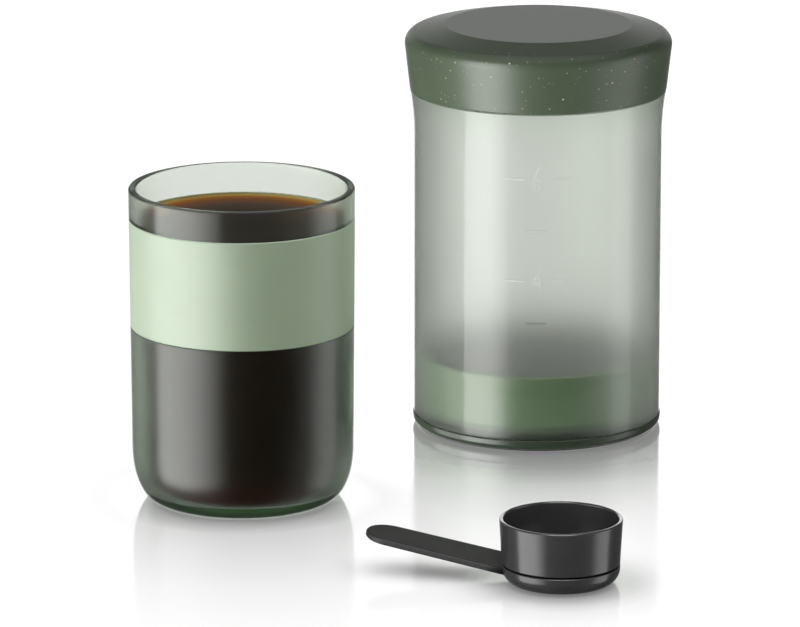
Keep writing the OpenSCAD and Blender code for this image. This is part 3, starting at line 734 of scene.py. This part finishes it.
def studio():
    """Room light for the set; camera rays, and others where the tables say so, see plain white instead."""
    world = bpy.data.worlds.new("studio")
    bpy.context.scene.world = world
    world.use_nodes = True
    n = Nodes(world.node_tree)
    n.tree.nodes.clear()
    way = n.add("ShaderNodeSeparateXYZ", {0: n.add("ShaderNodeTexCoord").outputs["Generated"]}).outputs
    turn = n.maths("ARCTAN2", way["X"], n.maths("MULTIPLY", way["Y"], -1.0))
    around = n.between(turn, -math.pi, math.pi)
    upward = n.between(way["Z"], -1.0, 1.0)

    def sweep(stops, peak=1.0):
        return n.levels(around, [(0.5 + a / 360, level / peak) for a, level in stops])

    def climb(stops, peak=1.0):
        return n.levels(upward, [(0.5 + math.sin(math.radians(a)) / 2, level / peak) for a, level in stops])

    room = n.mix(1.0, sweep(AROUND, ROOM_PEAK), climb(UPWARD), "MULTIPLY")
    lit = n.mix(1.0, room, climb(OVERHEAD, ROOM_PEAK), "ADD")
    light = n.add("ShaderNodeBackground", {"Color": lit, "Strength": ROOM_PEAK})
    white = n.add("ShaderNodeBackground", {"Color": WHITE, "Strength": 1.0})
    ray = n.add("ShaderNodeLightPath").outputs
    # Light through a clear wall sees white, unless the wall mirrored it inside and it runs forwards or down
    inner = n.maths("GREATER_THAN", ray["Glossy Depth"], 0.5)
    hidden = n.maths("MULTIPLY", inner, n.maths("MAXIMUM", sweep(AHEAD), climb(BELOW)))
    through = n.maths("MULTIPLY", ray["Is Transmission Ray"], n.maths("SUBTRACT", 1.0, hidden))
    straight = n.maths("MAXIMUM", ray["Is Camera Ray"], through)
    behind = n.mix(1.0, sweep(BEHIND), climb(GROUND), "MULTIPLY")
    mirrored = n.maths("MULTIPLY", ray["Is Glossy Ray"], behind)
    seen = n.maths("MAXIMUM", straight, mirrored)
    mixed = n.add("ShaderNodeMixShader", {"Fac": seen, 1: light.outputs[0], 2: white.outputs[0]})
    n.tree.links.new(mixed.outputs[0], n.add("ShaderNodeOutputWorld").inputs["Surface"])


studio()


def hang(light, lit, blockers):
    """Puts a lamp into the scene that lights some pieces and is blocked by some."""
    lamp = bpy.data.objects.new(light.name, light)
    lamp.visible_camera = False
    lamp.light_linking.receiver_collection = lit
    lamp.light_linking.blocker_collection = blockers
    bpy.context.scene.collection.objects.link(lamp)
    return lamp


def strip(
        name, lit, at, sharp, soft, level, low=-34.0, high=25.0, even=0.6, blockers=None, gloss_only=False):
    """Tall soft box by one item: even at its sharp edge, fading out to its soft one. Angles in degrees."""
    middle, half = math.radians((sharp + soft) / 2), math.radians(abs(sharp - soft) / 2)
    bottom, top = STRIP_FAR * math.tan(math.radians(low)), STRIP_FAR * math.tan(math.radians(high))
    light = bpy.data.lights.new(name, "AREA")
    light.shape = "RECTANGLE"
    light.size, light.size_y = 2 * STRIP_FAR * math.tan(half), top - bottom
    light.energy = level * math.pi * light.size * light.size_y
    light.use_nodes = True
    n = Nodes(light.node_tree)
    spot = n.add("ShaderNodeNewGeometry").outputs["Parametric"]
    across = n.add("ShaderNodeSeparateXYZ", {0: spot}).outputs["X"]
    near, away = (even, 1.0) if sharp < soft else (1.0 - even, 0.0)
    fade = n.between(across, near, away, 1.0, 0.0)
    n.tree.links.new(fade, n.tree.nodes["Emission"].inputs["Strength"])
    lamp = hang(light, lit, blockers or lit)
    x, y = at[0] * MM + STRIP_FAR * math.sin(middle), at[1] * MM - STRIP_FAR * math.cos(middle)
    lamp.location = (x, y, (bottom + top) / 2)
    lamp.rotation_euler = (math.pi / 2, 0.0, middle)
    lamp.visible_diffuse = not gloss_only


def overhead(name, lit, blockers, level, size, at, height):
    """Square soft box above the floor or one item; its size and height in metres."""
    light = bpy.data.lights.new(name, "AREA")
    light.shape, light.size = "SQUARE", size
    light.energy = level * math.pi * size ** 2
    hang(light, lit, blockers).location = (at[0] * MM, at[1] * MM, height)


def group(name, *bodies):
    """The pieces of one item, for the lamps that light it."""
    held = bpy.data.collections.new(name)
    for obj, body in PIECES:
        if body in bodies:
            held.objects.link(obj)
    return held


def only(name, obj):
    """One object by itself, for the lamps that light it."""
    held = bpy.data.collections.new(name)
    held.objects.link(obj)
    return held


# What the lamps light
cap = group("lid_lit", "lid")
brewer = group("brewer_lit", "base", "chamber", "filter", "valve")
mug = group("cup_lit", "cup")
mug.objects.unlink(band)
soft_band = only("sleeve_lit", band)
spoon = group("scoop_lit", "scoop")
rim = only("bowl_lit", bowl)
figures = only("marks_lit", marks)
foot = group("base_lit", "base")
ground = only("floor_lit", floor)
whole = group("all_lit", "base", "chamber", "lid", "filter", "valve", "cup", "scoop")

# Lamps: for a strip the edges and the level, for an overhead the level and the size
strip("lid_key", cap, BREWER_AT, -66, -20, 4.0, low=-55.0, high=30.0)
strip("lid_fill", cap, BREWER_AT, 98, 50, 0.6, low=-55.0)
strip("lid_card", cap, BREWER_AT, 150, 210, 0.36, **CARD)
strip("brewer_key", brewer, BREWER_AT, -72, -26, 2.7)
strip("brewer_fill", brewer, BREWER_AT, 96, 66, 0.7)
strip("marks_key", figures, BREWER_AT, -60, 30, 0.75)
strip("cup_key", mug, CUP_AT, -97, -18, 5.1, even=0.5)
strip("cup_fill", mug, CUP_AT, 112, 72, 1.15)
strip("sleeve_key", soft_band, CUP_AT, -102, -2, 4.1, gloss_only=True)
strip("sleeve_side", soft_band, CUP_AT, -110, -10, 1.2)
strip("sleeve_edge", soft_band, CUP_AT, -102, -160, 1.4)
strip("sleeve_fill", soft_band, CUP_AT, 112, 72, 0.8)
strip("scoop_key", spoon, SCOOP_AT, -90, -30, 4.3)
strip("scoop_fill", spoon, SCOOP_AT, 101, 60, 2.0)
strip("rim_card", rim, SCOOP_AT, 150, 210, 2.4, **CARD)
overhead("floor_light", ground, whole, 1.16, 4.0, BREWER_AT, 1.6)
strip("floor_card", ground, BREWER_AT, 150, 210, 0.95, low=2.0, high=34.0, even=0.98, blockers=whole)
scoop_front = (SCOOP_AT[0], SCOOP_AT[1] - SCOOP_LIGHT_AHEAD / MM)
overhead("scoop_light", spoon, spoon, 9.0, 0.5, scoop_front, 0.6)
overhead("lid_light", cap, cap, 0.15, 1.2, BREWER_AT, 0.8)
overhead("sleeve_light", soft_band, soft_band, 1.2, 1.2, CUP_AT, 0.7)
overhead("cup_light", mug, mug, 1.0, 0.8, CUP_AT, 0.7)
overhead("base_light", foot, foot, 1.2, 0.8, BREWER_AT, 0.8)
strip("base_key", foot, BREWER_AT, -108, -30, 1.9)

# Camera
camera_data = bpy.data.cameras.new("camera")
camera_data.sensor_width, camera_data.lens = SENSOR, LENS
camera = bpy.data.objects.new("camera", camera_data)
camera.location = CAMERA_AT
camera.rotation_euler = (math.radians(90 - CAMERA_DOWN), 0.0, 0.0)
bpy.context.scene.collection.objects.link(camera)
bpy.context.scene.camera = camera
bpy.context.scene.view_settings.view_transform = "Standard"
